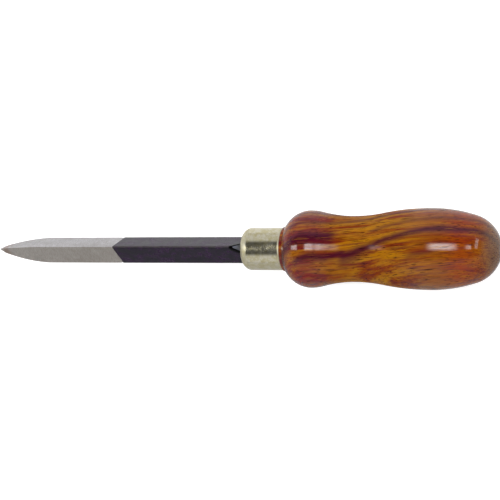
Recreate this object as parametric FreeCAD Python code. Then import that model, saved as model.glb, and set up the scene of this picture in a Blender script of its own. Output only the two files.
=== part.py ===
import FreeCAD, Part

import math
import os

# Scratch awl with a three-square blade: a bar of triangular section, ground bright over its front
# half and to a point, with a tang driven into a turned wooden handle through a domed steel ferrule.
#
# The tool lies along X, with its point towards -X and its butt towards +X. The origin is on the
# tool's axis, in the plane where the ferrule's rear edge meets the handle's shoulder. One arris of
# the blade faces +Z and one flat faces -Z. Everything is in millimetres and degrees.

# Blade
BAR_SIDE = 10.6                # side of the triangular section, measured to its sharp corners
ARRIS_RADIUS = 0.3             # rounding of the black bar's three corners
BLADE_LENGTH = 103.2           # from the point to the ferrule's front face
GROUND_LENGTH = 52.2           # of the bright flats, from the point to where the wheel left the bar
GRIND_DEPTH = 0.17             # of the bright flats below the black ones
RUNOUT_LENGTH = 1.3            # over which the wheel's curve fades out at the end of a bright flat
RUNOUT_SKEW = 9.0              # turn of the two upper run-outs, forwards at the upper arris
POINT_LENGTH = 21.0            # over which the flats curve in to the point
HONED_LENGTH = 2.3             # of the steeper facets at the very point
HONED_ANGLE = 19.0             # between each of those facets and the axis
POINT_FLAT = 0.05              # inscribed radius of the flat left at the point
BELLY_ANGLE = 1.5              # between the curved flats and the axis where they begin
RELIEF_LENGTH = 4.1            # of the slope that takes the upper arris down to the tang's heel
RELIEF_DEPTH = 2.7             # of that slope at the ferrule's front face

# Tang
TANG_ROOT = 4.2                # side of its square section at the shoulder
TANG_TIP = 2.2                 # side of its square section before its point
TANG_LENGTH = 44.0             # from the shoulder to its point
TANG_POINT_LENGTH = 2.5
TANG_POINT_SIDE = 0.8          # side of the small square that the point ends in

# Ferrule
FERRULE_DIAMETER = 16.0
FERRULE_WALL = 0.8
FERRULE_LENGTH = 16.0
FERRULE_NOSE_RADIUS = 3.4      # of the curve from its front face to its side
FERRULE_LEAD_IN = 0.3          # chamfer of the bore's mouth, for the tenon

# Handle
HANDLE_LENGTH = 81.2           # from the shoulder to the butt
SHOULDER_LIP = 0.4             # width of the flat wood around the ferrule's rear edge
SHOULDER_LAND = 1.0            # length of the straight ring of wood behind that flat
FRONT_BULGE_DIAMETER = 28.9
FRONT_BULGE_X = 10.5           # from the shoulder
FRONT_BULGE_SHARE = 0.27       # of the way to the waist that the bulge's own curve takes
WAIST_DIAMETER = 24.4
WAIST_X = 27.2                 # from the shoulder
REAR_BULGE_DIAMETER = 29.9
REAR_BULGE_TO_BUTT = 25.6
REAR_BULGE_SHARE = 0.62        # of the way to the waist that the bulge's own curve takes
REAR_FALL_RADIUS = 54.0        # of the curve from the rear bulge to the dome
DOME_RADIUS = 13.2             # of the rounded end
BUTT_DIAMETER = 5.4            # of the small flat that ends it
PILOT_DIAMETER = 4.6           # of the hole drilled for the tang's thick half
PILOT_DEPTH = 23.0
PILOT_TIP_DIAMETER = 2.6       # of the hole drilled for its thin half
DRILL_ANGLE = 118.0            # point angle of the drill

# Fits
BLADE_CLEARANCE = 0.1          # between the blade's flats and the hole in the ferrule
TENON_CLEARANCE = 0.02         # between the tenon and the ferrule's bore
SEAT_GAP = 0.2                 # between the tenon's end and the inside of the ferrule's front
TANG_GAP = 1.5                 # between the tang's point and the bottom of the hole

# Sizes that follow from the ones above
FERRULE_FRONT = -FERRULE_LENGTH
POINT_X = FERRULE_FRONT - BLADE_LENGTH
SEAT_X = FERRULE_FRONT + FERRULE_WALL + SEAT_GAP
BAR_INSCRIBED = BAR_SIDE / (2 * math.sqrt(3))
FERRULE_RADIUS = FERRULE_DIAMETER / 2
FERRULE_BORE_RADIUS = FERRULE_RADIUS - FERRULE_WALL
FERRULE_BORE_CORNER = FERRULE_NOSE_RADIUS - FERRULE_WALL
TENON_RADIUS = FERRULE_BORE_RADIUS - TENON_CLEARANCE
SHOULDER_RADIUS = FERRULE_RADIUS + SHOULDER_LIP
REAR_BULGE_X = HANDLE_LENGTH - REAR_BULGE_TO_BUTT

REACH = 4 * BAR_SIDE           # how far the cutting tools stand clear of the blade
FLAT_ANGLES = (-90.0, 30.0, 150.0)   # directions that the three flats face, about X from +Y


def point(x, radius):
    """A point of a turned outline, in the XZ plane."""
    return FreeCAD.Vector(x, 0, radius)


def line(start, end):
    """A straight edge between two points."""
    return Part.makeLine(start, end)


def arc(start, middle, end):
    """A circular edge through three points."""
    return Part.Arc(start, middle, end).toShape()


def corner_arc(centre, radius, from_angle, to_angle):
    """A circular edge in the XZ plane about a centre, between two angles from +X towards +Z."""
    def at(angle):
        turn = math.radians(angle)
        return centre + FreeCAD.Vector(radius * math.cos(turn), 0, radius * math.sin(turn))
    return arc(at(from_angle), at((from_angle + to_angle) / 2), at(to_angle))


def two_arcs(bulge, waist, share):
    """Two tangent arcs from the top of a bulge to the bottom of a waist, both level at their ends.

    share is how much of the way the bulge's arc takes. The waist's arc takes the rest.
    """
    run = waist.x - bulge.x
    drop = bulge.z - waist.z
    turn = 2 * math.degrees(math.atan(drop / abs(run)))
    both_radii = abs(run) / math.sin(math.radians(turn))
    bulge_radius = share * both_radii
    waist_radius = both_radii - bulge_radius
    side = math.copysign(1, run)
    return [
        corner_arc(bulge - point(0, bulge_radius), bulge_radius, 90, 90 - side * turn),
        corner_arc(waist + point(0, waist_radius), waist_radius, -90, -90 - side * turn),
    ]


def nose_arc(shoulder, bulge):
    """The arc from the edge of the shoulder that is level at the top of the bulge."""
    run = bulge.x - shoulder.x
    rise = bulge.z - shoulder.z
    radius = (run ** 2 + rise ** 2) / (2 * rise)
    centre = bulge - point(0, radius)
    start = math.degrees(math.atan2(shoulder.z - centre.z, shoulder.x - centre.x))
    return corner_arc(centre, radius, start, 90)


def dome_arcs(bulge, fall_radius, dome_radius, end):
    """An arc that is level at the top of the bulge, and a tighter one tangent to it that meets end."""
    fall_centre = bulge - point(0, fall_radius)
    to_end = end - fall_centre
    apart = fall_radius - dome_radius
    along = (apart ** 2 - dome_radius ** 2 + to_end.Length ** 2) / (2 * to_end.Length)
    aside = math.sqrt(apart ** 2 - along ** 2)
    way = to_end * (1 / to_end.Length)
    dome_centre = fall_centre + way * along + point(-way.z, way.x) * aside
    tangent = math.degrees(math.atan2(dome_centre.z - fall_centre.z, dome_centre.x - fall_centre.x))
    end_angle = math.degrees(math.atan2(end.z - dome_centre.z, end.x - dome_centre.x))
    return [
        corner_arc(fall_centre, fall_radius, 90, tangent),
        corner_arc(dome_centre, dome_radius, tangent, end_angle),
    ]


def turned(edges):
    """The solid that a closed outline in the XZ plane makes when it turns about X."""
    face = Part.Face(Part.Wire(Part.__sortEdges__(edges)))
    return face.revolve(FreeCAD.Vector(0, 0, 0), FreeCAD.Vector(1, 0, 0), 360)


def three_square(inscribed, corner_radius, from_x, to_x):
    """A triangular bar along X with one arris up and rounded corners."""
    corner = 2 * inscribed - 2 * corner_radius
    edges = []
    for flat in FLAT_ANGLES:
        normal = math.radians(flat)
        ends = []
        for side in (-60, 60):
            centre = math.radians(flat + side)
            ends.append(FreeCAD.Vector(
                from_x,
                corner * math.cos(centre) + corner_radius * math.cos(normal),
                corner * math.sin(centre) + corner_radius * math.sin(normal),
            ))
        edges.append(line(*ends))
        middle = math.radians(flat + 60)
        next_normal = math.radians(flat + 120)
        edges.append(arc(
            ends[1],
            FreeCAD.Vector(
                from_x,
                (corner + corner_radius) * math.cos(middle),
                (corner + corner_radius) * math.sin(middle),
            ),
            FreeCAD.Vector(
                from_x,
                corner * math.cos(middle) + corner_radius * math.cos(next_normal),
                corner * math.sin(middle) + corner_radius * math.sin(next_normal),
            ),
        ))
    return Part.Face(Part.Wire(edges)).extrude(FreeCAD.Vector(to_x - from_x, 0, 0))


def on_flat(edges, flat, skew=0.0, skew_x=0.0):
    """A cutting tool for one flat: an outline with +Z as the flat's outward side, drawn out across it.

    skew turns the tool in the plane of the flat, about skew_x on its middle line.
    """
    face = Part.Face(Part.Wire(edges))
    face.translate(FreeCAD.Vector(0, -REACH, 0))
    tool = face.extrude(FreeCAD.Vector(0, 2 * REACH, 0))
    tool.rotate(FreeCAD.Vector(skew_x, 0, 0), FreeCAD.Vector(0, 0, 1), skew)
    tool.rotate(FreeCAD.Vector(0, 0, 0), FreeCAD.Vector(1, 0, 0), flat - 90)
    return tool


def flat_grind(flat, skew):
    """What the wheel takes off one flat: a thin layer that fades out at its rear end."""
    ground = BAR_INSCRIBED - GRIND_DEPTH
    rear = POINT_X + GROUND_LENGTH
    wheel_radius = (RUNOUT_LENGTH ** 2 + GRIND_DEPTH ** 2) / (2 * GRIND_DEPTH)
    half_turn = math.asin(RUNOUT_LENGTH / wheel_radius) / 2
    front = POINT_X - REACH
    fade_start = point(rear - RUNOUT_LENGTH, ground)
    fade_middle = fade_start + point(
        wheel_radius * math.sin(half_turn), wheel_radius * (1 - math.cos(half_turn)))
    fade_end = point(rear, BAR_INSCRIBED)
    edges = [
        arc(fade_start, fade_middle, fade_end),
        line(fade_end, point(rear, REACH)),
        line(point(rear, REACH), point(front, REACH)),
        line(point(front, REACH), point(front, ground)),
        line(point(front, ground), fade_start),
    ]
    return on_flat(edges, flat, skew, rear)


def point_grind(flat):
    """What is taken off one flat to bring it in to the point: a long curve, then a honed facet."""
    ground = BAR_INSCRIBED - GRIND_DEPTH
    belly_start = point(POINT_X + POINT_LENGTH, ground)
    honed_end = point(
        POINT_X + HONED_LENGTH,
        POINT_FLAT + HONED_LENGTH * math.tan(math.radians(HONED_ANGLE)),
    )
    tip = point(POINT_X, POINT_FLAT)
    leave = math.radians(BELLY_ANGLE)
    chord = belly_start - honed_end
    bow = math.atan2(chord.z, chord.x) - leave
    middle = (belly_start + honed_end) * 0.5 + FreeCAD.Vector(-chord.z, 0, chord.x) * (
        math.tan(bow / 2) / 2)
    rear_top = point(belly_start.x, REACH)
    front_top = point(POINT_X, REACH)
    edges = [
        line(tip, honed_end),
        arc(honed_end, middle, belly_start),
        line(belly_start, rear_top),
        line(rear_top, front_top),
        line(front_top, tip),
    ]
    return on_flat(edges, flat)


def heel_relief():
    """What is taken off the upper arris just ahead of the ferrule."""
    arris = 2 * BAR_INSCRIBED - ARRIS_RADIUS
    slope = RELIEF_DEPTH / RELIEF_LENGTH
    start = point(FERRULE_FRONT - RELIEF_LENGTH, arris)
    end = point(SEAT_X, arris - slope * (SEAT_X - start.x))
    edges = [
        line(start, end),
        line(end, point(end.x, REACH)),
        line(point(end.x, REACH), point(start.x, REACH)),
        line(point(start.x, REACH), start),
    ]
    return on_flat(edges, 90.0)


def square(x, side):
    """A square outline across X."""
    half = side / 2
    corners = [
        FreeCAD.Vector(x, y, z)
        for y, z in ((-half, -half), (half, -half), (half, half), (-half, half), (-half, -half))
    ]
    return Part.makePolygon(corners)


def tang():
    """The square tapering spike behind the blade's shoulder, with its blunt point."""
    end = SEAT_X + TANG_LENGTH
    neck = end - TANG_POINT_LENGTH
    taper = Part.makeLoft([square(SEAT_X, TANG_ROOT), square(neck, TANG_TIP)], True, True)
    spike = Part.makeLoft([square(neck, TANG_TIP), square(end, TANG_POINT_SIDE)], True, True)
    return taper.fuse(spike)


def blade():
    """The blade with its tang, which are one forging."""
    bar = three_square(BAR_INSCRIBED, ARRIS_RADIUS, POINT_X, SEAT_X)
    skews = (0.0, -RUNOUT_SKEW, RUNOUT_SKEW)
    for flat, skew in zip(FLAT_ANGLES, skews):
        bar = bar.cut(flat_grind(flat, skew))
        bar = bar.cut(point_grind(flat))
    bar = bar.cut(heel_relief())
    return bar.fuse(tang()).removeSplitter()


def ferrule():
    """The drawn steel cup: a domed front with a hole of the blade's section, and a plain bore."""
    inside_front = FERRULE_FRONT + FERRULE_WALL
    nose = point(FERRULE_FRONT + FERRULE_NOSE_RADIUS, FERRULE_RADIUS - FERRULE_NOSE_RADIUS)
    edges = [
        line(point(FERRULE_FRONT, 0), point(FERRULE_FRONT, nose.z)),
        corner_arc(nose, FERRULE_NOSE_RADIUS, 180, 90),
        line(point(nose.x, FERRULE_RADIUS), point(0, FERRULE_RADIUS)),
        line(point(0, FERRULE_RADIUS), point(0, FERRULE_BORE_RADIUS + FERRULE_LEAD_IN)),
        line(
            point(0, FERRULE_BORE_RADIUS + FERRULE_LEAD_IN),
            point(-FERRULE_LEAD_IN, FERRULE_BORE_RADIUS),
        ),
        line(point(-FERRULE_LEAD_IN, FERRULE_BORE_RADIUS), point(nose.x, FERRULE_BORE_RADIUS)),
        corner_arc(nose, FERRULE_BORE_CORNER, 90, 180),
        line(point(inside_front, nose.z), point(inside_front, 0)),
        line(point(inside_front, 0), point(FERRULE_FRONT, 0)),
    ]
    cup = turned(edges)
    hole = three_square(
        BAR_INSCRIBED + BLADE_CLEARANCE,
        ARRIS_RADIUS + BLADE_CLEARANCE,
        FERRULE_FRONT - FERRULE_WALL,
        FERRULE_FRONT + FERRULE_NOSE_RADIUS,
    )
    hole_top = 2 * BAR_INSCRIBED - ARRIS_RADIUS - RELIEF_DEPTH + BLADE_CLEARANCE
    above = Part.makeBox(REACH, 2 * REACH, REACH)
    above.translate(FreeCAD.Vector(FERRULE_FRONT - REACH / 2, -REACH, hole_top))
    return cup.cut(hole.cut(above))


def pilot_hole():
    """The stepped hole drilled for the tang, with the cone that the drill leaves at its bottom."""
    wide = PILOT_DIAMETER / 2
    narrow = PILOT_TIP_DIAMETER / 2
    step_x = SEAT_X + PILOT_DEPTH
    bottom_x = SEAT_X + TANG_LENGTH + TANG_GAP
    cone = 1 / math.tan(math.radians(DRILL_ANGLE / 2))
    outline = [
        point(SEAT_X, 0),
        point(SEAT_X, wide),
        point(step_x, wide),
        point(step_x + (wide - narrow) * cone, narrow),
        point(bottom_x, narrow),
        point(bottom_x + narrow * cone, 0),
    ]
    edges = [line(a, b) for a, b in zip(outline, outline[1:] + outline[:1])]
    return turned(edges)


def handle_outline():
    """The handle's turned outline, from the tenon's end round the two bulges to the butt."""
    corner = point(SEAT_X + FERRULE_BORE_CORNER, TENON_RADIUS - FERRULE_BORE_CORNER)
    shoulder = point(0, SHOULDER_RADIUS)
    land = point(SHOULDER_LAND, SHOULDER_RADIUS)
    front_bulge = point(FRONT_BULGE_X, FRONT_BULGE_DIAMETER / 2)
    waist = point(WAIST_X, WAIST_DIAMETER / 2)
    rear_bulge = point(REAR_BULGE_X, REAR_BULGE_DIAMETER / 2)
    butt = point(HANDLE_LENGTH, BUTT_DIAMETER / 2)
    return [
        line(point(SEAT_X, 0), point(SEAT_X, corner.z)),
        corner_arc(corner, FERRULE_BORE_CORNER, 180, 90),
        line(point(corner.x, TENON_RADIUS), point(0, TENON_RADIUS)),
        line(point(0, TENON_RADIUS), shoulder),
        line(shoulder, land),
        nose_arc(land, front_bulge),
        *two_arcs(front_bulge, waist, FRONT_BULGE_SHARE),
        *two_arcs(rear_bulge, waist, REAR_BULGE_SHARE),
        *dome_arcs(rear_bulge, REAR_FALL_RADIUS, DOME_RADIUS, butt),
        line(butt, point(HANDLE_LENGTH, 0)),
        line(point(HANDLE_LENGTH, 0), point(SEAT_X, 0)),
    ]


def handle():
    """The turned wooden handle. Its hole is the drilled one, and the tang's corners bite into it."""
    return turned(handle_outline()).cut(pilot_hole()).cut(tang())


def main():
    """Writes each piece to its own STEP file."""
    os.makedirs("parts", exist_ok=True)
    pieces = {"blade": blade(), "ferrule": ferrule(), "handle": handle()}
    for name, shape in pieces.items():
        solids = shape.Solids
        print(name, "solids", len(solids), "valid", shape.isValid(), "volume", round(shape.Volume, 1))
        solids[0].exportStep(os.path.join("parts", name + ".step"))


main()
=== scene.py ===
import logging
import math
from dataclasses import dataclass, field
from enum import Enum
from typing import Sequence, Union

import bmesh
import bpy
from mathutils import Matrix, Vector


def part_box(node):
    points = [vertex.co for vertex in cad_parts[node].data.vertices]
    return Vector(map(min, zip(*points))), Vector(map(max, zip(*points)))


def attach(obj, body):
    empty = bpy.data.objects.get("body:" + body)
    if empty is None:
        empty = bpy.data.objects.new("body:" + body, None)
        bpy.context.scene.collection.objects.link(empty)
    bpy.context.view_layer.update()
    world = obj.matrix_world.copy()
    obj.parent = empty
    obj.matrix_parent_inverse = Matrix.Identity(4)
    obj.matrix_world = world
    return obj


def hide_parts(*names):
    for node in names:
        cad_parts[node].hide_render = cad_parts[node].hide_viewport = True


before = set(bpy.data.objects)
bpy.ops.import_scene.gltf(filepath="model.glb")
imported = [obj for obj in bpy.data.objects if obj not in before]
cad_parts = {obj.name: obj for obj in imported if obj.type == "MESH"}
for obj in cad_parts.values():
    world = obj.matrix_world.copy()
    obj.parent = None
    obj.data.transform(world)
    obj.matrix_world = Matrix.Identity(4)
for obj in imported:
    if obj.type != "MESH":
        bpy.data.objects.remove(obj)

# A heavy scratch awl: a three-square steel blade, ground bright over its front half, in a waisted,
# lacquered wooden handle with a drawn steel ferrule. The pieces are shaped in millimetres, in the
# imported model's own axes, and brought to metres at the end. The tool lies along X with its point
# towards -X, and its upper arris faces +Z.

log = logging.getLogger("awl")

Node = bpy.types.Node
Socket = bpy.types.NodeSocket
Tree = bpy.types.NodeTree
Feed = Union[float, Sequence[float], Socket]
Span = tuple[float, float]              # where a fade starts and ends
Triple = tuple[float, float, float]

MM = 0.001                              # metres in a millimetre
FULL_TURN = 2 * math.pi
THIRD_TURN = FULL_TURN / 3
X_AXIS = (1, 0, 0)                      # along the tool, towards the butt
Y_AXIS = (0, 1, 0)
Z_AXIS = (0, 0, 1)                      # towards the upper arris
SAME_POINT = 1e-4                       # points closer than this, in millimetres, are joined
NO_LENGTH = 1e-5                        # an edge shorter than this has no length

# What the blade, the ferrule and the handle share, in millimetres
BAR_SIDE = 10.6                         # of the three-square bar, to its sharp corners
HEEL_DEPTH = 2.7                        # how far the arris is taken down ahead of the ferrule


# ---------------------------------------------------------------------------------------------
# Colours and node trees


def tone(code: str) -> tuple[float, float, float, float]:
    """The linear colour of a six-digit screen colour.

    Args:
        code: Red, green and blue as three pairs of hexadecimal digits.

    Returns:
        Linear red, green, blue and an alpha of one.
    """
    channels = [int(code[i:i + 2], 16) / 255 for i in (0, 2, 4)]
    linear = [c / 12.92 if c <= 0.04045 else ((c + 0.055) / 1.055) ** 2.4 for c in channels]
    return (linear[0], linear[1], linear[2], 1.0)


class Blend(Enum):
    """How a second colour is laid over a first."""

    MIX = "MIX"
    MULTIPLY = "MULTIPLY"


class Bench:
    """A node tree, with short calls that add a node, feed its inputs and give its output."""

    def __init__(self, tree: Tree) -> None:
        """Keeps the tree."""
        self.tree = tree

    def add(self, kind: str, feeds: dict | None = None, **settings: object) -> Node:
        """Adds a node.

        Args:
            kind: The node's type name.
            feeds: A value or a socket for each input, by the input's name or number.
            **settings: The node's own properties.

        Returns:
            The new node.
        """
        node = self.tree.nodes.new(kind)
        for name, value in settings.items():
            setattr(node, name, value)
        self.fill(node, feeds or {})
        return node

    def fill(self, node: Node, feeds: dict) -> None:
        """Joins an output to each named input, or sets the input's own value.

        Args:
            node: The node.
            feeds: A value or a socket for each input, by the input's name or number.
        """
        for key, feed in feeds.items():
            if isinstance(feed, Socket):
                self.tree.links.new(feed, node.inputs[key])
            else:
                node.inputs[key].default_value = feed

    def group(self, effect: Tree, feeds: dict) -> Node:
        """A shared effect, placed with its own values."""
        return self.add("ShaderNodeGroup", feeds, node_tree=effect)

    def math(self, operation: str, a: Feed, b: Feed = 0.0, c: Feed = 0.0) -> Socket:
        """The result of a sum on up to three numbers."""
        return self.add("ShaderNodeMath", {0: a, 1: b, 2: c}, operation=operation).outputs[0]

    def total(self, first: Feed, *others: Feed) -> Feed:
        """The sum of several numbers.

        Args:
            first: The first number.
            *others: The rest.

        Returns:
            The sum.
        """
        for other in others:
            first = self.math("ADD", first, other)
        return first

    def times(self, first: Feed, *others: Feed) -> Feed:
        """The product of several numbers.

        Args:
            first: The first number.
            *others: The rest.

        Returns:
            The product.
        """
        for other in others:
            first = self.math("MULTIPLY", first, other)
        return first

    def greatest(self, first: Feed, *others: Feed) -> Feed:
        """The greatest of several numbers.

        Args:
            first: The first number.
            *others: The rest.

        Returns:
            The greatest.
        """
        for other in others:
            first = self.math("MAXIMUM", first, other)
        return first

    def less(self, a: Feed, b: Feed) -> Socket:
        """One number less another."""
        return self.math("SUBTRACT", a, b)

    def blend_in(self, value: Feed, share: Feed, base: Feed) -> Socket:
        """A base with a share of a value added."""
        return self.math("MULTIPLY_ADD", value, share, base)

    def away(self, value: Feed, middle: Feed) -> Socket:
        """How far a number is from a middle one."""
        return self.math("ABSOLUTE", self.less(value, middle))

    def place(
        self, vector: Feed, scale: Triple = (1, 1, 1), turn: Triple = (0, 0, 0),
    ) -> Socket:
        """Coordinates that are scaled, and turned by degrees."""
        return self.add("ShaderNodeMapping", {
            "Vector": vector,
            "Rotation": [math.radians(a) for a in turn],
            "Scale": scale,
        }).outputs[0]

    def along(self, vector: Feed, direction: Sequence[float]) -> Socket:
        """How far coordinates lie along a direction."""
        node = self.add("ShaderNodeVectorMath", {0: vector, 1: direction}, operation="DOT_PRODUCT")
        return node.outputs["Value"]

    def noise(
        self, vector: Feed, scale: Feed = 1.0, detail: float = 3.0, rough: float = 0.5,
        twist: Feed = 0.0,
    ) -> Socket:
        """Smooth noise between about 0.2 and 0.8."""
        return self.add("ShaderNodeTexNoise", {
            "Vector": vector, "Scale": scale, "Detail": detail, "Roughness": rough,
            "Distortion": twist,
        }).outputs["Fac"]

    def fade(
        self, value: Feed, low: Feed, high: Feed, start: Feed = 0.0, end: Feed = 1.0,
    ) -> Socket:
        """A smooth change from start, at low, to end, at high."""
        return self.add("ShaderNodeMapRange", {
            "Value": value, "From Min": low, "From Max": high, "To Min": start, "To Max": end,
        }, interpolation_type="SMOOTHSTEP").outputs[0]

    def fade_out(self, value: Feed, low: Feed, high: Feed, start: Feed = 1.0) -> Socket:
        """A smooth change from start, at low, to nothing, at high."""
        return self.fade(value, low, high, start, 0.0)

    def ramp(self, value: Feed, stops: Sequence[tuple[float, str]]) -> Socket:
        """A colour from a row of two colours.

        Args:
            value: The place in the row.
            stops: The place and the colour of each end.

        Returns:
            The colour.
        """
        node = self.add("ShaderNodeValToRGB", {"Fac": value})
        for element, (position, code) in zip(node.color_ramp.elements, stops, strict=True):
            element.position = position
            element.color = tone(code)
        return node.outputs["Color"]

    def lay(self, share: Feed, under: Feed, over: Feed, how: Blend = Blend.MIX) -> Socket:
        """One colour laid over another by a share."""
        return self.add("ShaderNodeMix", {0: share, 6: under, 7: over},
                        data_type="RGBA", blend_type=how.value).outputs[2]

    def between(self, share: Feed, a: Feed, b: Feed) -> Socket:
        """A number between two others."""
        return self.add("ShaderNodeMix", {0: share, 2: a, 3: b}, data_type="FLOAT").outputs[0]

    def bump(self, height: Feed, distance: float, strength: float,
             under: Feed | None = None) -> Socket:
        """The normal of a raised surface.

        Args:
            height: The height, as a share of the distance.
            distance: The greatest height, in metres.
            strength: How much of it shows.
            under: The normal of the surface that it lies on.

        Returns:
            The normal.
        """
        feeds = {"Height": height, "Distance": distance, "Strength": strength}
        if under is not None:
            feeds["Normal"] = under
        return self.add("ShaderNodeBump", feeds).outputs[0]

    def painted(self, mark: str) -> Socket:
        """A mark that the shaping left on the mesh's points."""
        return self.add("ShaderNodeAttribute", attribute_name=mark).outputs["Fac"]

    def camera_ray(self) -> Socket:
        """One for what the camera sees directly, and nothing for what lights or is reflected."""
        return self.add("ShaderNodeLightPath").outputs["Is Camera Ray"]


# ---------------------------------------------------------------------------------------------
# Effects that more than one finish uses


@dataclass(frozen=True)
class Effects:
    """The shared effects, each a node group."""

    lines: Tree
    handling: Tree
    pits: Tree
    wear: Tree


def new_effect(
    name: str, inputs: dict[str, float], outputs: Sequence[str],
) -> tuple[Bench, Node, Node]:
    """Starts a node group that reads coordinates and numbers.

    Args:
        name: The group's name.
        inputs: The standard value of each number input, by its name.
        outputs: Names of the number outputs.

    Returns:
        The group's bench, its input node and its output node.
    """
    tree = bpy.data.node_groups.new(name, "ShaderNodeTree")
    tree.interface.new_socket("Vector", in_out="INPUT", socket_type="NodeSocketVector")
    for label, value in inputs.items():
        socket = tree.interface.new_socket(label, in_out="INPUT", socket_type="NodeSocketFloat")
        socket.default_value = value
    for label in outputs:
        tree.interface.new_socket(label, in_out="OUTPUT", socket_type="NodeSocketFloat")
    bench = Bench(tree)
    return bench, bench.add("NodeGroupInput"), bench.add("NodeGroupOutput")


def lines_effect() -> Tree:
    """Fine grinding or polishing lines. Coordinates come in already stretched along the lines."""
    bench, given, out = new_effect("fine_lines", {}, ["Height", "Streaks"])
    vector = given.outputs["Vector"]
    coarse = bench.noise(vector, scale=1.0, detail=4.0, rough=0.6)
    fine = bench.noise(vector, scale=3.3, detail=3.0, rough=0.6)
    height = bench.total(bench.times(coarse, 0.6), bench.times(fine, 0.4))
    bench.fill(out, {"Height": height, "Streaks": bench.fade(height, 0.38, 0.62)})
    return bench.tree


def handling_effect() -> Tree:
    """Soft smears where a surface has been held or wiped."""
    bench, given, out = new_effect("handling_smears", {"Size": 6.0, "Amount": 0.5}, ["Mask"])
    scale = bench.math("DIVIDE", 1.0, given.outputs["Size"])
    cloud = bench.noise(given.outputs["Vector"], scale, detail=4.0, rough=0.55, twist=0.6)
    bench.fill(out, {"Mask": bench.times(bench.fade(cloud, 0.42, 0.66), given.outputs["Amount"])})
    return bench.tree


def pits_effect() -> Tree:
    """Scattered small pits or specks, thicker in some places than in others."""
    bench, given, out = new_effect("pits", {"Spacing": 1.5, "Amount": 0.5}, ["Mask"])
    vector = given.outputs["Vector"]
    scale = bench.math("DIVIDE", 1.0, given.outputs["Spacing"])
    cells = bench.add("ShaderNodeTexVoronoi", {"Vector": vector, "Scale": scale})
    spread = bench.noise(vector, bench.times(scale, 0.45), detail=2.0)
    reach = bench.fade(spread, 0.48, 0.7, start=0.02, end=0.26)
    mask = bench.fade_out(cells.outputs["Distance"], 0.0, reach)
    bench.fill(out, {"Mask": bench.times(mask, given.outputs["Amount"])})
    return bench.tree


def wear_effect() -> Tree:
    """Rubbing along edges, broken up so that it is never an even line."""
    bench, given, out = new_effect(
        "edge_wear", {"Edge": 0.0, "Breaks": 2.0, "Amount": 0.5}, ["Mask"])
    scale = bench.math("DIVIDE", 1.0, given.outputs["Breaks"])
    cloud = bench.noise(given.outputs["Vector"], scale, detail=5.0, rough=0.6)
    reached = bench.total(given.outputs["Edge"], cloud, -0.5)
    bench.fill(out, {"Mask": bench.times(bench.fade(reached, 0.62, 1.05), given.outputs["Amount"])})
    return bench.tree


def new_finish(name: str) -> tuple[bpy.types.Material, Bench, Node, Socket]:
    """Starts a material.

    Args:
        name: The material's name.

    Returns:
        The material, its bench, its main shader, and the piece's own coordinates in millimetres.
    """
    material = bpy.data.materials.new(name)
    material.use_nodes = True
    material.node_tree.nodes.clear()
    bench = Bench(material.node_tree)
    shader = bench.add("ShaderNodeBsdfPrincipled")
    bench.add("ShaderNodeOutputMaterial", {"Surface": shader.outputs["BSDF"]})
    coordinates = bench.add("ShaderNodeTexCoord").outputs["Object"]
    return material, bench, shader, bench.place(coordinates, (1 / MM, 1 / MM, 1 / MM))


# ---------------------------------------------------------------------------------------------
# Finishes. Lengths are in millimetres, and a Span gives where a fade starts and where it ends.


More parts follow.
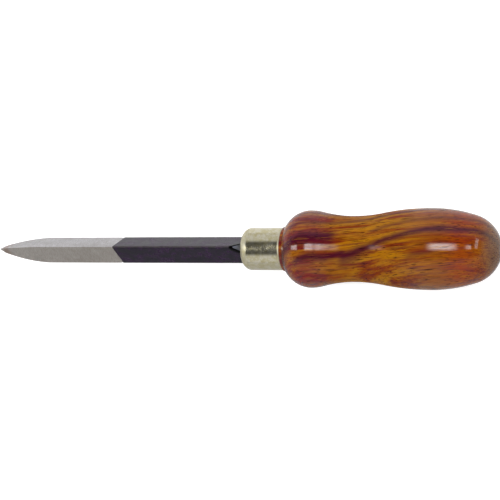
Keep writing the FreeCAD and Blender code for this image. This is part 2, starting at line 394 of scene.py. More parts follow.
@dataclass(frozen=True)
class BladeSteel:
    """The blade's two finishes: bright ground flats, then black forging scale."""

    boundary_x: float                   # where the bright flats end, on the axis
    boundary_lean: float                # millimetres forwards per millimetre upwards
    point_x: float
    relief_x: float                     # where the heel's slope starts, on the upper arris
    relief_z: float                     # height of the arris there
    relief_slope: float                 # fall per millimetre
    stray: float = 0.7                  # of the boundary, along the wheel's lines
    boundary_fade: Span = (-0.2, 0.2)
    line_pitch: Triple = (5.0, 0.5, 0.5)        # close along the tool, so the lines cross it
    line_lean: Triple = (3, 4, 6)               # in degrees
    slope_edge: Span = (0.05, 0.25)     # off the slope, where its own tone ends
    slope_start: Span = (0.8, 1.3)      # behind its upper end, where that tone starts
    shade_ring_edge: Span = (0.9, 1.7)        # the same for the painted black shade line round it
    shade_ring_start: Span = (-0.6, 0.1)
    temper_place: float = 3.2           # of the brown spot, behind the point
    temper_reach: float = 3.0
    temper_share: float = 0.55
    flat_shade: float = 0.5                # of the painted shade on the flat that faces -Y
    smear_share: float = 0.35
    bright_rough: Span = (0.30, 0.42)
    black_rough: Span = (0.16, 0.28)
    bright: str = "b4b2b7"
    bright_streak: str = "989593"
    # a darker, warmer colour laid on the flat that faces -Y: painted shade
    flat_shade_tint: str = "f4ead2"
    temper: str = "80614f"
    black: str = "0d0517"
    black_warm: str = "22082c"
    # near-black painted shade, laid round the heel slope and on its eased edges
    rim_shade: str = "040304"
    worn: str = "6b6663"
    heel: str = "5e606a"

    def on_shaded_flat(self, bench: Bench, mm: Socket) -> Socket:
        """One on the flat that faces -Y, which is painted darker and warmer than the others as shade.

        Args:
            bench: The material's bench.
            mm: The piece's coordinates in millimetres.

        Returns:
            The mask.
        """
        facing = [FULL_TURN / 12 + number * THIRD_TURN for number in (1, 0, 2)]
        shaded, *others = [bench.along(mm, (0, math.cos(turn), math.sin(turn))) for turn in facing]
        return bench.fade(bench.less(shaded, bench.greatest(*others)), -0.12, 0.12)

    def material(self, effects: Effects) -> bpy.types.Material:
        """Builds the material.

        Args:
            effects: The shared effects.

        Returns:
            The finished material.
        """
        material, bench, shader, mm = new_finish("blade_steel")
        x = bench.along(mm, X_AXIS)
        z = bench.along(mm, Z_AXIS)
        lines = bench.group(effects.lines, {
            "Vector": bench.place(mm, self.line_pitch, self.line_lean),
        }).outputs
        smears = bench.group(effects.handling, {
            "Vector": mm, "Size": 7.0, "Amount": 1.0,
        }).outputs["Mask"]
        rubbed = bench.group(effects.wear, {
            "Edge": bench.painted("edge"), "Vector": mm, "Breaks": 1.6, "Amount": 0.35,
        }).outputs["Mask"]

        # Where the wheel left the bar, feathered along its lines
        behind = bench.blend_in(z, self.boundary_lean, bench.less(x, self.boundary_x))
        ragged = bench.less(bench.noise(mm, scale=1.1), 0.5)
        behind = bench.blend_in(ragged, self.stray, behind)
        blackness = bench.fade(behind, *self.boundary_fade)

        # The slope at the heel, with a painted black shade line round it
        ahead = bench.less(x, self.relief_x)
        off_slope = bench.away(z, bench.blend_in(ahead, -self.relief_slope, self.relief_z))
        heel = bench.times(bench.fade_out(off_slope, *self.slope_edge),
                           bench.fade(ahead, *self.slope_start))
        shade_ring = bench.times(bench.fade_out(off_slope, *self.shade_ring_edge),
                           bench.fade(ahead, *self.shade_ring_start))
        rim_shade = bench.fade(bench.painted("rim_shade"), 0.25, 0.75)

        streak = tone(self.bright_streak)
        bright = bench.lay(lines["Streaks"], tone(self.bright), streak)
        bright = bench.lay(bench.times(smears, self.smear_share), bright, streak)
        # Painted shade: the flat that faces -Y is laid darker and warmer
        shaded = bench.times(self.on_shaded_flat(bench, mm), self.flat_shade)
        bright = bench.lay(shaded, bright, tone(self.flat_shade_tint), Blend.MULTIPLY)
        spot = bench.away(bench.less(x, self.point_x), self.temper_place)
        spot = bench.times(bench.fade_out(spot, 0.0, self.temper_reach), self.temper_share)
        bright = bench.lay(spot, bright, tone(self.temper))

        scale_cloud = bench.noise(mm, scale=0.35, detail=5.0, rough=0.6, twist=0.4)
        black = bench.lay(bench.fade(scale_cloud, 0.4, 0.62), tone(self.black), tone(self.black_warm))
        black = bench.lay(rubbed, black, tone(self.worn))
        # Painted shade: a near-black line round the slope, and on the slope's eased edges
        black = bench.lay(shade_ring, black, tone(self.rim_shade))
        black = bench.lay(bench.times(heel, 0.9), black, tone(self.heel))
        black = bench.lay(rim_shade, black, tone(self.rim_shade))

        bright_rough = bench.fade(lines["Streaks"], 0.0, 1.0, *self.bright_rough)
        bright_rough = bench.blend_in(smears, 0.08, bright_rough)
        black_rough = bench.fade(scale_cloud, 0.35, 0.7, *self.black_rough)
        black_rough = bench.blend_in(heel, 0.25, black_rough)

        hammered = bench.total(
            bench.times(bench.noise(mm, scale=0.22, detail=2.0), 0.8),
            bench.times(bench.noise(mm, scale=2.4, detail=5.0, rough=0.6), 0.05),
        )
        grain = bench.bump(lines["Height"], 0.000012, 0.5)
        bench.fill(shader, {
            "Base Color": bench.lay(blackness, bright, black),
            "Metallic": bench.greatest(bench.less(1.0, blackness), bench.times(rubbed, 0.8),
                                       shade_ring, rim_shade),
            "IOR": 1.29,
            "Roughness": bench.between(blackness, bright_rough, black_rough),
            "Normal": bench.bump(bench.times(hammered, blackness), 0.00025, 0.5, grain),
        })
        return material


@dataclass(frozen=True)
class FerruleSteel:
    """Drawn steel, polished in the lathe, a little yellowed with age and worn matt at its ends."""

    front: float                        # the cup's ends, along the tool
    rear: float
    matt_front: Span = (2.2, 3.8)       # behind the front, where the matt nose ends
    matt_rear: Span = (-0.8, -0.3)      # from the rear edge, where the matt rim starts
    roughness: Span = (0.12, 0.48)      # polished, and matt
    clean: str = "c1bca8"
    yellowed: str = "b3ab88"
    pitted: str = "7b7564"

    def material(self, effects: Effects) -> bpy.types.Material:
        """Builds the material.

        Args:
            effects: The shared effects.

        Returns:
            The finished material.
        """
        material, bench, shader, mm = new_finish("ferrule_steel")
        turned = bench.group(effects.lines, {"Vector": bench.place(mm, (6.0, 0.16, 0.16))}).outputs
        smears = bench.group(effects.handling, {
            "Vector": mm, "Size": 4.5, "Amount": 1.0,
        }).outputs["Mask"]
        pits = bench.group(effects.pits, {
            "Vector": mm, "Spacing": 1.3, "Amount": 0.7,
        }).outputs["Mask"]
        rubbed = bench.group(effects.wear, {
            "Edge": bench.painted("edge"), "Vector": mm, "Breaks": 2.5, "Amount": 1.0,
        }).outputs["Mask"]

        patina = bench.fade(bench.noise(mm, scale=0.6, detail=4.0, rough=0.6), 0.34, 0.68)
        patina = bench.times(patina, bench.less(1.0, rubbed))
        colour = bench.lay(patina, tone(self.clean), tone(self.yellowed))

        x = bench.along(mm, X_AXIS)
        matt = bench.greatest(
            bench.fade_out(x, *(self.front + place for place in self.matt_front)),
            bench.fade(x, *(self.rear + place for place in self.matt_rear)),
        )
        surface = bench.bump(turned["Height"], 0.000012, 0.25)
        bench.fill(shader, {
            "Base Color": bench.lay(pits, colour, tone(self.pitted)),
            "Metallic": 1.0,
            "Roughness": bench.total(
                bench.fade(matt, 0.0, 1.0, *self.roughness),
                bench.times(turned["Streaks"], 0.06),
                bench.times(smears, 0.08),
                bench.times(pits, 0.3),
            ),
            "Normal": bench.bump(bench.times(pits, -1.0), 0.00002, 0.3, surface),
        })
        return material


@dataclass(frozen=True)
class DarkLayer:
    """A nearly flat layer of dark wood that runs through the handle."""

    depth: float                        # across the layers, from the tool's axis at the shoulder
    reach: float                        # half its thickness, with its soft edges
    strength: float
    start_x: float = -40.0              # the stretch of the handle that it shows in
    end_x: float = 100.0
    start_y: float = -40.0              # and the side: it shows only beyond this
    soft_x: float = 5.0                 # the length over which it comes and goes
    soft_y: float = 4.0


@dataclass(frozen=True)
class LacqueredWood:
    """Streaked orange-brown hardwood under a gloss lacquer.

    The figure comes from dark layers that lie at a slant through the blank, and every turned
    surface cuts them in its own way. across is the direction square to them, and grain the direction
    square to the finer streaks.
    """

    butt_x: float
    across: Triple = (-0.166, 0.718, -0.677)
    grain: Triple = (-0.09, 0.95, -0.22)
    fibre_pitch: Span = (0.05, 0.25)    # along the fibres and to their side, for 1 across
    wave: float = 2.6                   # how far the layers wander
    stray: float = 2.6                  # and how far their edges do
    dark_layers: tuple[DarkLayer, ...] = (
        DarkLayer(-14.9, 1.3, 1.0, end_x=30, start_y=-9.5),
        DarkLayer(-15.5, 1.9, 1.0, start_x=21, start_y=-9.5),
        DarkLayer(-10.0, 3.4, 1.0, end_x=25),
        DarkLayer(-10.6, 1.5, 0.6, start_x=34),
        DarkLayer(-4.2, 1.5, 0.65),
        DarkLayer(-21.6, 1.1, 0.45, start_x=46, end_x=62),
        DarkLayer(2.5, 1.8, 0.7),
        DarkLayer(9.0, 1.6, 0.8),
    )
    band_pitch: Triple = (0.55, 0.8, 0.5)       # of the broad bands, in fibre space
    streak_pitch: Triple = (2.6, 1.0, 3.0)
    pore_pitch: Triple = (5.0, 3.4, 9.0)
    nose_end: Span = (14.0, 27.0)       # where the red nose fades
    rear_start: Span = (44.0, 60.0)     # where the browner rear starts
    glow_x: float = 69.0                # the redder part of the rear bulge
    glow_reach: float = 9.0
    end_start: Span = (-6.5, -1.0)      # from the butt, where the end grain starts
    grip_start: Span = (13.0, 23.0)     # the waist, where fingers rub the lacquer thin
    grip_end: Span = (40.0, 58.0)
    grip_gloss: float = 0.3
    early: str = "9f680c"
    middle: str = "752e06"
    late: str = "3a0420"
    red: str = "6e0812"
    glow: str = "8b2c02"
    end: str = "64503c"
    pore: str = "1c0408"

    def grain_space(self, bench: Bench, mm: Socket) -> tuple[Socket, Socket]:
        """Coordinates that follow the wood.

        Args:
            bench: The material's bench.
            mm: The piece's coordinates in millimetres.

        Returns:
            The distance across the dark layers, gently waved, and a vector stretched along the
            fibres.
        """
        across = Vector(self.across).normalized()
        grain = Vector(self.grain).normalized()
        fibre = (Vector(X_AXIS) - grain * grain.x).normalized()
        side = grain.cross(fibre)
        wave = bench.noise(bench.place(mm, (0.05, 0.11, 0.11)))
        wave = bench.times(bench.less(wave, 0.5), self.wave)
        depth = bench.total(bench.along(mm, across), wave)
        vector = bench.add("ShaderNodeCombineXYZ", {
            0: bench.blend_in(wave, 0.6, bench.along(mm, grain)),
            1: bench.times(bench.along(mm, fibre), self.fibre_pitch[0]),
            2: bench.times(bench.along(mm, side), self.fibre_pitch[1]),
        }).outputs[0]
        return depth, vector

    def layer_mask(self, bench: Bench, depth: Socket, mm: Socket, ragged: Socket) -> Feed:
        """How dark the dark layers make the wood.

        Args:
            bench: The material's bench.
            depth: The distance across the layers.
            mm: The piece's coordinates in millimetres.
            ragged: A fine noise that breaks the layers' edges.

        Returns:
            The mask.
        """
        x = bench.along(mm, X_AXIS)
        y = bench.along(mm, Y_AXIS)
        strays = bench.less(ragged, 0.5)
        bands = []
        for layer in self.dark_layers:
            away = bench.blend_in(strays, self.stray, bench.away(depth, layer.depth))
            bands.append(bench.times(
                bench.fade_out(away, 0.0, layer.reach, layer.strength),
                bench.fade(x, layer.start_x, layer.start_x + layer.soft_x),
                bench.fade_out(x, layer.end_x - layer.soft_x, layer.end_x),
                bench.fade(y, layer.start_y, layer.start_y + layer.soft_y),
            ))
        return bench.greatest(*bands)

    def material(self, effects: Effects) -> bpy.types.Material:
        """Builds the material.

        Args:
            effects: The shared effects.

        Returns:
            The finished material.
        """
        material, bench, shader, mm = new_finish("lacquered_wood")
        x = bench.along(mm, X_AXIS)
        depth, fibres = self.grain_space(bench, mm)
        streaks = bench.noise(bench.place(fibres, self.streak_pitch), detail=4.0, rough=0.65)
        broad = bench.noise(bench.place(fibres, self.band_pitch), detail=4.0, rough=0.6)
        dashes = bench.noise(bench.place(fibres, self.pore_pitch), detail=1.0, rough=0.4)
        pores = bench.fade(dashes, 0.61, 0.68)

        # Golden wood with orange-brown bands, redder and darker at the nose. Each row lays a
        # colour over the ones before it by a share, and the last three are fibres and open pores
        colour = tone(self.early)
        for share, over in (
            (bench.fade(broad, 0.40, 0.66), self.middle),
            (bench.fade(x, *self.rear_start, 0.0, 0.6), self.middle),
            (bench.times(bench.fade_out(x, *self.nose_end, 0.8),
                         bench.fade(broad, 0.3, 0.66, 0.35, 1.0)), self.red),
            (bench.times(bench.fade_out(bench.away(x, self.glow_x), 0.0, self.glow_reach), 0.55),
             self.glow),
            (bench.times(self.layer_mask(bench, depth, mm, streaks), 0.92), self.late),
            (bench.times(bench.fade(x, *(self.butt_x + place for place in self.end_start)), 0.75),
             self.end),
            (bench.fade(streaks, 0.48, 0.68, 0.0, 0.65), self.late),
            (bench.fade_out(streaks, 0.28, 0.46, 0.5), self.early),
            (bench.times(pores, 0.8), self.pore),
        ):
            colour = bench.lay(share, colour, tone(over))

        # Gloss lacquer, rubbed thin where the fingers close round the waist
        grip = bench.times(bench.fade(x, *self.grip_start), bench.fade_out(x, *self.grip_end))
        mottle = bench.times(bench.fade(streaks, 0.36, 0.58, 0.62, 1.0),
                             bench.fade(pores, 0.0, 1.0, 1.0, 0.35))
        gloss = bench.times(bench.fade(grip, 0.0, 1.0, 1.0, self.grip_gloss), mottle)
        lathe = bench.group(effects.lines, {
            "Vector": bench.place(mm, (1.6, 0.06, 0.06)),
        }).outputs["Height"]
        smears = bench.group(effects.handling, {
            "Vector": mm, "Size": 9.0, "Amount": 1.0,
        }).outputs["Mask"]
        surface = bench.bump(lathe, 0.00002, 0.35)
        surface = bench.bump(smears, 0.00005, 0.3, surface)
        bench.fill(shader, {
            "Base Color": colour,
            "Roughness": bench.fade(streaks, 0.3, 0.7, 0.42, 0.55),
            "Specular IOR Level": 0.0,
            "Coat Weight": gloss,
            "Coat Roughness": 0.07,
            "Coat IOR": 1.4,
            "Normal": bench.bump(bench.less(1.0, pores), 0.00003, 0.4, surface),
        })
        return material


# ---------------------------------------------------------------------------------------------
# Shaping


@dataclass
class Outline:
    """A turned outline in the XZ plane, drawn from point to point as a turner's template is."""

    step: float = 0.4                   # between neighbouring points of a curve
    points: list[tuple[float, float]] = field(default_factory=list)

    def to(self, x: float, radius: float) -> None:
        """Runs straight to a point."""
        self.points.append((x, radius))

    def along(self, x: float, radius: float) -> None:
        """Runs straight to a point, with points on the way as close as on a curve.

        Args:
            x: The point's place along the tool.
            radius: Its distance from the axis.
        """
        start_x, start_radius = self.points[-1]
        length = math.hypot(x - start_x, radius - start_radius)
        count = max(1, round(length / self.step))
        for i in range(1, count + 1):
            share = i / count
            self.points.append((start_x + (x - start_x) * share,
                                start_radius + (radius - start_radius) * share))

    def arc(self, x: float, radius: float, size: float, start: float, end: float) -> None:
        """Runs round an arc.

        Args:
            x: The centre's place along the tool.
            radius: The centre's distance from the axis.
            size: The arc's own radius.
            start: Its first angle, in degrees from +X towards +Z.
            end: Its last angle.
        """
        length = abs(math.radians(end - start)) * size
        count = max(4, round(length / self.step))
        for i in range(count + 1):
            angle = math.radians(start + (end - start) * i / count)
            self.points.append((x + size * math.cos(angle), radius + size * math.sin(angle)))


class Workpiece:
    """A mesh under the tools, in millimetres, that becomes a named piece of the awl."""

    def __init__(self, name: str) -> None:
        """Starts an empty mesh."""
        self.name = name
        self.mesh = bmesh.new()
        self.edge_layer = self.mesh.verts.layers.float.new("edge")
        # a mark for the painted dark shade on the eased edges of the blade's heel slope
        self.rim_shade_layer = self.mesh.verts.layers.float.new("rim_shade")

    def turn(self, outline: Outline, steps: int, closed: bool) -> None:
        """Spins an outline about the X axis.

        Args:
            outline: The outline, without repeated points.
            steps: Faces in a full turn.
            closed: Whether its last point joins its first.
        """
        verts = []
        for x, radius in outline.points:
            if verts and (Vector((x, 0, radius)) - verts[-1].co).length < SAME_POINT:
                continue
            verts.append(self.mesh.verts.new((x, 0, radius)))
        edges = [self.mesh.edges.new(pair) for pair in zip(verts, verts[1:])]
        if closed:
            edges.append(self.mesh.edges.new((verts[-1], verts[0])))
        bmesh.ops.spin(self.mesh, geom=verts + edges, cent=(0, 0, 0), axis=X_AXIS,
                       dvec=(0, 0, 0), angle=FULL_TURN, steps=steps, use_merge=True,
                       use_normal_flip=False, use_duplicate=False)
        self.close()

    def close(self) -> None:
        """Joins doubled points, drops faces with no area and points the rest outwards."""
        bmesh.ops.remove_doubles(self.mesh, verts=self.mesh.verts, dist=SAME_POINT)
        bmesh.ops.dissolve_degenerate(self.mesh, edges=self.mesh.edges, dist=NO_LENGTH)
        bmesh.ops.recalc_face_normals(self.mesh, faces=self.mesh.faces)

    def mark_edges(self, angle: float) -> None:
        """Gives every face smooth shading except across sharp edges.

        Args:
            angle: The angle, in degrees, from which an edge is sharp.
        """
        limit = math.radians(angle)
        for face in self.mesh.faces:
            face.smooth = True
        for edge in self.mesh.edges:
            edge.smooth = edge.calc_face_angle(0.0) < limit

    def finish(self, material: bpy.types.Material, node: str, slot: str) -> bpy.types.Object:
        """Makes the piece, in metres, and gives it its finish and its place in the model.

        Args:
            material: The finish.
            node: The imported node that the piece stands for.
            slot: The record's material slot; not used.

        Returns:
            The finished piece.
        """
        bmesh.ops.scale(self.mesh, vec=(MM, MM, MM), verts=self.mesh.verts)
        data = bpy.data.meshes.new(self.name)
        self.mesh.to_mesh(data)
        faces = len(self.mesh.faces)
        self.mesh.free()
        data.materials.append(material)
        piece = bpy.data.objects.new(self.name, data)
        bpy.context.scene.collection.objects.link(piece)
        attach(piece, "root")
        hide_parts(node)
        log.info("%s: %d faces", self.name, faces)
        return piece


def box_mm(node: str) -> tuple[Vector, Vector]:
    """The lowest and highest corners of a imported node, in millimetres."""
    low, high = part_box(node)
    return low / MM, high / MM


def evenly(start: float, end: float, count: int) -> list[float]:
    """Places from a start, which is left out, to an end, in equal steps."""
    return [start + (end - start) * i / count for i in range(1, count + 1)]


def inscribed_radius(side: float) -> float:
    """The radius of the circle inside a triangle of equal sides."""
    return side / (2 * math.sqrt(3))


# ---------------------------------------------------------------------------------------------
# The three-square section that the blade and the ferrule's mouth share


@dataclass(frozen=True)
class ThreeSquare:
    """A triangle with rounded corners and its upper corner at +Z."""

    inscribed: float                    # from the axis to a flat
    corner: float                       # radius of its corners

    @property
    def half_flat(self) -> float:
        """Half the width of a flat, between its corners' curves."""
        return math.sqrt(3) * (self.inscribed - self.corner)

    @property
    def corner_centre(self) -> float:
        """The distance from the axis to the centre of a corner's curve."""
        return 2 * (self.inscribed - self.corner)

    def radius_at(self, angle: float) -> float:
        """The distance from the axis to the outline.

        Args:
            angle: Direction in radians, from +Y towards +Z.

        Returns:
            The distance.
        """
        half = THIRD_TURN / 2
        from_corner = (angle - FULL_TURN / 4 + half) % THIRD_TURN - half
        to_flat = half - abs(from_corner)
        if self.inscribed * math.tan(to_flat) <= self.half_flat:
            return self.inscribed / math.cos(to_flat)
        aside = self.corner_centre * math.sin(from_corner)
        out = self.corner_centre * math.cos(from_corner)
        return out + math.sqrt(max(0.0, self.corner ** 2 - aside ** 2))


# ---------------------------------------------------------------------------------------------
# The blade


@dataclass
class Blade:
    """The blade: a three-square bar with a ground point, a sloped heel and a square tang."""

    ferrule_front: float
    side: float = BAR_SIDE
    black_corner: float = 0.36
    ground_corner: float = 0.05
    sharpest_corner: float = 0.6        # the most of a section's own radius that a corner takes
    grind_depth: float = 0.17
    ground_length: float = 52.2
    runout_length: float = 1.3
    boundary_lean: float = 0.18
    lean_reach: float = 12.0            # from the boundary, to where the rings stand square
    point_length: float = 21.0
    belly_angle: float = 1.5
    honed_length: float = 2.3
    honed_angle: float = 19.0
    honed_edge: float = 0.06            # half the width of the turn from honed point to belly
    point_flat: float = 0.05
    relief_length: float = 4.1
    relief_depth: float = HEEL_DEPTH
    heel_ease: float = 0.7              # width of the eased edges round the slope
    heel_rim: float = 0.5               # and of the painted dark shade rim inside them
    seat_depth: float = 1.0             # of the bar's end behind the ferrule's front
    tang_root: float = 4.2
    tang_tip: float = 2.2
    tang_point: float = 0.8
    tang_point_length: float = 2.5
    tang_sunk: float = 0.4              # into the bar's end
    flat_points: int = 12               # across each flat
    corner_points: int = 6              # round each corner
    smooth_angle: float = 32.0          # sharper edges, in degrees, stay crisp

    def __post_init__(self) -> None:
        """Takes the blade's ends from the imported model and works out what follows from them."""
        low, high = box_mm("blade")
        self.point_x = low.x
        self.tang_end = high.x
        self.inscribed = inscribed_radius(self.side)
        self.boundary_x = self.point_x + self.ground_length
        self.seat_x = self.ferrule_front + self.seat_depth
        self.arris_z = 2 * self.inscribed - self.black_corner
        self.relief_x = self.ferrule_front - self.relief_length
        self.relief_slope = self.relief_depth / self.relief_length

    def belly(self, from_point: float) -> float:
        """The distance from the axis to a ground flat.

        Args:
            from_point: Distance along the axis from the point.

        Returns:
            The distance.
        """
        ground = self.inscribed - self.grind_depth
        honed_rise = math.tan(math.radians(self.honed_angle))
        honed_end = self.point_flat + self.honed_length * honed_rise
        if from_point <= self.honed_length:
            return self.point_flat + from_point * honed_rise
        if from_point >= self.point_length:
            return ground
        run = self.point_length - self.honed_length
        rise = ground - honed_end
        leave = math.radians(self.belly_angle)
        half_turn = math.atan2(rise, run) - leave
        size = math.hypot(run, rise) / (2 * math.sin(half_turn))
        centre_x = self.point_length + size * math.sin(leave)
        centre_z = ground - size * math.cos(leave)
        return centre_z + math.sqrt(size ** 2 - (from_point - centre_x) ** 2)

    def section(self, x: float) -> ThreeSquare:
        """The bar's section at a place along the axis.

        Args:
            x: The place.

        Returns:
            The section.
        """
        behind = x - self.boundary_x
        if behind >= 0:
            return ThreeSquare(self.inscribed, self.black_corner)
        fade = min(1.0, -behind / self.runout_length)
        depth = self.grind_depth * (1 - (1 - fade) ** 2)
        ground = min(self.inscribed - depth, self.belly(x - self.point_x))
        corner = self.black_corner + (self.ground_corner - self.black_corner) * fade
        return ThreeSquare(ground, min(corner, self.sharpest_corner * ground))

    def stations(self) -> list[float]:
        """Places along the bar that have a ring of points."""
        honed_start = self.honed_length - self.honed_edge
        belly_start = self.honed_length + self.honed_edge
        belly_end = self.point_length + self.honed_edge
        level_end = self.ground_length - self.runout_length
        places = [0.0, 0.15, 0.4, 0.8, 1.3, 1.8, honed_start, belly_start]
        places += evenly(belly_start, belly_end, 26)
        places += evenly(belly_end, level_end, 24)
        places += evenly(level_end, self.ground_length, 8)
        places += evenly(self.ground_length, self.seat_x - self.point_x, 50)
        return [self.point_x + place for place in places]

    def around(self) -> list[tuple[int, float, bool]]:
        """The ring's points.

        Returns:
            For each point, the flat or corner's number, its share of the way along it, and whether
            it is on a corner.
        """
        return [
            (number, i / count, on_corner)
            for number in range(3)
            for count, on_corner in ((self.flat_points, False), (self.corner_points, True))
            for i in range(count)
        ]

    def ring_point(self, section: ThreeSquare, place: tuple[int, float, bool]) -> Vector:
        """A ring's point in the plane across the axis.

        Args:
            section: The bar's section.
            place: The flat or corner's number, the share of the way, and whether on a corner.

        Returns:
            The point, with no X.
        """
        number, share, on_corner = place
        normal = -FULL_TURN / 4 + number * THIRD_TURN
        if not on_corner:
            across = (2 * share - 1) * section.half_flat
            return Vector((
                0,
                section.inscribed * math.cos(normal) - across * math.sin(normal),
                section.inscribed * math.sin(normal) + across * math.cos(normal),
            ))
        middle = normal + THIRD_TURN / 2
        angle = normal + share * THIRD_TURN
        return Vector((
            0,
            section.corner_centre * math.cos(middle) + section.corner * math.cos(angle),
            section.corner_centre * math.sin(middle) + section.corner * math.sin(angle),
        ))

    def draw_bar(self, work: Workpiece) -> None:
        """Wraps a sheet of points round the bar, ring by ring, and closes its ends.

        Args:
            work: The blade under the tools.
        """
        stations = self.stations()
        ring = self.around()
        columns = len(stations) - 1
        rows = len(ring)
        bmesh.ops.create_grid(work.mesh, x_segments=columns, y_segments=rows, size=0.5)
        work.mesh.verts.ensure_lookup_table()
        for vert in work.mesh.verts:
            station = stations[round((vert.co.x + 0.5) * columns)]
            place = ring[round((vert.co.y + 0.5) * rows) % rows]
            near = max(0.0, 1 - abs(station - self.boundary_x) / self.lean_reach)
            spot = self.ring_point(self.section(station), place)
            spot.x = station - self.boundary_lean * near * spot.z
            vert.co = spot
            vert[work.edge_layer] = 1.0 if place[2] else 0.0
        bmesh.ops.remove_doubles(work.mesh, verts=work.mesh.verts, dist=NO_LENGTH)
        rims = [edge for edge in work.mesh.edges if edge.is_boundary]
        bmesh.ops.edgeloop_fill(work.mesh, edges=rims)
        work.close()

    def slope_heel(self, work: Workpiece) -> None:
        """Takes the upper arris down just ahead of the ferrule and eases the cut's edges.

        Args:
            work: The blade under the tools.
        """
        tilt = math.atan(self.relief_slope)
        plane_point = Vector((self.relief_x, 0, self.arris_z))
        normal = Vector((math.sin(tilt), 0, math.cos(tilt)))
        bmesh.ops.bisect_plane(
            work.mesh, geom=work.mesh.verts[:] + work.mesh.edges[:] + work.mesh.faces[:],
            dist=NO_LENGTH, plane_co=plane_point, plane_no=normal, clear_outer=True)
        rims = [edge for edge in work.mesh.edges if edge.is_boundary]
        filled = bmesh.ops.edgeloop_fill(work.mesh, edges=rims)
        bmesh.ops.recalc_face_normals(work.mesh, faces=work.mesh.faces)
        slope = filled["faces"][0]
        eased = [edge for edge in slope.edges if edge.calc_face_angle(0.0) > 0.2
                 and min(v.co.x for v in edge.verts) < self.seat_x - 0.05]
        rounded = bmesh.ops.bevel(
            work.mesh, geom=eased, offset=self.heel_ease, offset_type="OFFSET", segments=4,
            profile=0.5, affect="EDGES", material=-1, clamp_overlap=True)
        # The eased edges are marked for the painted dark shade
        for vert in rounded["verts"]:
            vert[work.rim_shade_layer] = 1.0
        slope = self.heel_face(work, normal)
        bmesh.ops.inset_individual(
            work.mesh, faces=[slope], thickness=self.heel_rim, use_even_offset=True)
        for vert in slope.verts:
            vert[work.rim_shade_layer] = 0.0

    def heel_face(self, work: Workpiece, normal: Vector) -> bmesh.types.BMFace:
        """The slope's own face.

        Args:
            work: The blade under the tools.
            normal: The slope's direction.

        Returns:
            The face ahead of the bar's end that looks that way, and isn't a sliver.
        """
        ahead = [face for face in work.mesh.faces if face.calc_center_median().x < self.seat_x - 0.2]
        return max(ahead, key=lambda face: face.normal.dot(normal) * min(face.calc_area(), 1.0))

    def add_tang(self, work: Workpiece) -> None:
        """Draws the square tang out of the bar's end.

        Args:
            work: The blade under the tools.
        """
        tang = bmesh.ops.create_cube(work.mesh, size=1.0)["verts"]
        neck = self.tang_end - self.tang_point_length
        for vert in tang:
            rear = vert.co.x > 0
            reach = (self.tang_tip if rear else self.tang_root) / 2
            vert.co = Vector((
                neck if rear else self.seat_x - self.tang_sunk,
                math.copysign(reach, vert.co.y),
                math.copysign(reach, vert.co.z),
            ))
        end = [face for face in work.mesh.faces
               if all(v in tang and v.co.x > neck - 0.01 for v in face.verts)]
        drawn = bmesh.ops.extrude_face_region(work.mesh, geom=end)
        bmesh.ops.delete(work.mesh, geom=end, context="FACES")
        tip = [item for item in drawn["geom"] if isinstance(item, bmesh.types.BMVert)]
        share = self.tang_point / self.tang_tip
        bmesh.ops.translate(work.mesh, vec=(self.tang_point_length, 0, 0), verts=tip)
        bmesh.ops.scale(work.mesh, vec=(1, share, share), verts=tip)

    def build(self, effects: Effects) -> bpy.types.Object:
        """Builds and dresses the blade.

        Args:
            effects: The shared effects.

        Returns:
            The piece.
        """
        work = Workpiece("blade_forging")
        self.draw_bar(work)
        self.slope_heel(work)
        self.add_tang(work)
        bmesh.ops.recalc_face_normals(work.mesh, faces=work.mesh.faces)
        work.mark_edges(self.smooth_angle)
        finish = BladeSteel(
            boundary_x=self.boundary_x, boundary_lean=self.boundary_lean, point_x=self.point_x,
            relief_x=self.relief_x, relief_z=self.arris_z, relief_slope=self.relief_slope)
        return work.finish(finish.material(effects), "blade", "blade_steel")


# ---------------------------------------------------------------------------------------------
# The ferrule


